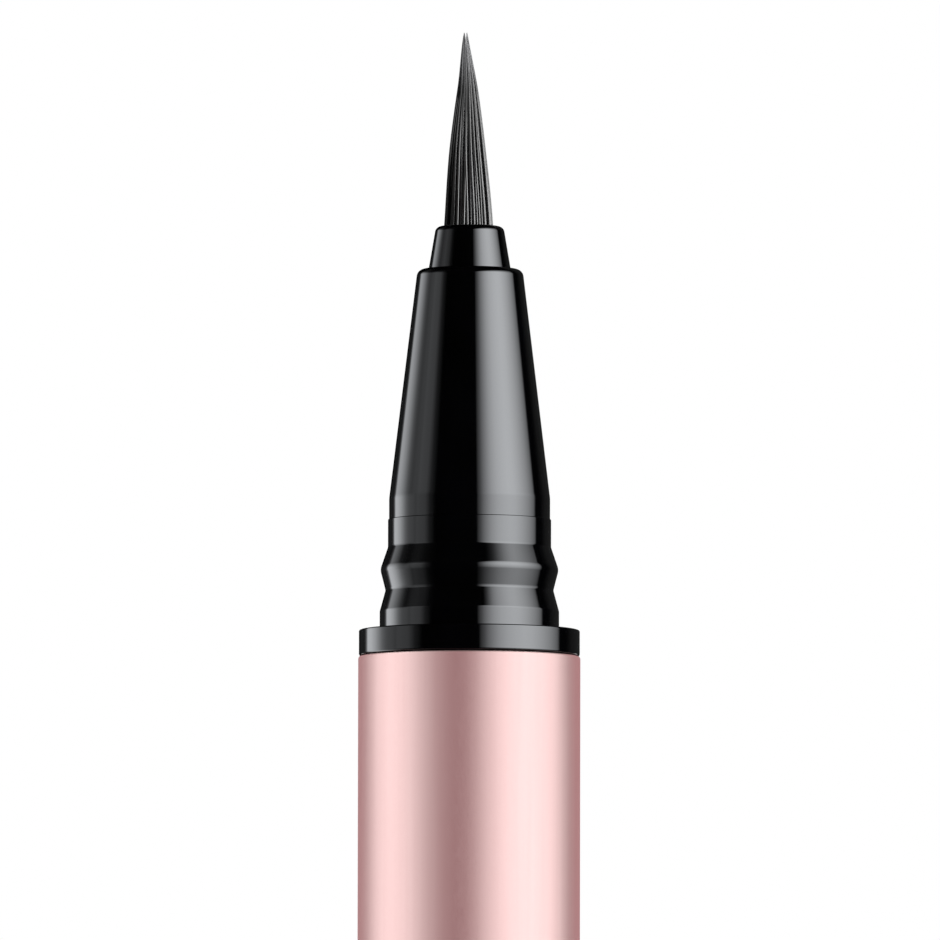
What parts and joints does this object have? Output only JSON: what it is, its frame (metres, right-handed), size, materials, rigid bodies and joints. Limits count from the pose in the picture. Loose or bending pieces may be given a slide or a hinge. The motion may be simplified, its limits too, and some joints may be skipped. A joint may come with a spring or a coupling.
{
  "type": "liquid eyeliner pen",
  "caption": "Slim brush-tip liquid eyeliner pen, cap off: satin rose metal barrel, black gloss front section with snap rib, ink tank, comb collector, wick and tapered bristle brush.",
  "frame": {"origin": "middle of the flat tail face that the pen stands on", "axes": "+Z along the pen towards the brush, -Y faces the picture's camera, -X is the side that the brush tip leans to"},
  "size_m": [0.0104, 0.0104, 0.1271],
  "materials": {
    "rose_aluminium": "satin, rose anodised",
    "rose_plastic": "satin rose lacquer",
    "tank_plastic": "natural polypropylene",
    "ball_steel": "polished",
    "collector_plastic": "moulded, natural",
    "wick_fibre": "bonded fibre, ink soaked",
    "seal_rubber": "matt",
    "black_gloss": "polished moulding",
    "ferrule_metal": "drawn",
    "bristle_fibre": "tapered synthetic filament, ink black"
  },
  "bodies": {
    "pen": {"barrel_sleeve": "rose_aluminium", "tail_plug": "rose_plastic", "ink_tank": "tank_plastic", "tank_plug": "tank_plastic", "collector": "collector_plastic", "feed_wick": "wick_fibre", "seal_ring": "seal_rubber", "front_section": "black_gloss", "brush_holder": "black_gloss", "brush_ferrule": "ferrule_metal", "brush_bristles": "bristle_fibre"},
    "ball": {"mixing_ball": "ball_steel"}
  },
  "joints": [
    {"name": "ball_slide", "type": "slide", "parent": "pen", "child": "ball", "axis": [0, 0, 1], "range_m": [0, 0.063]}
  ]
}
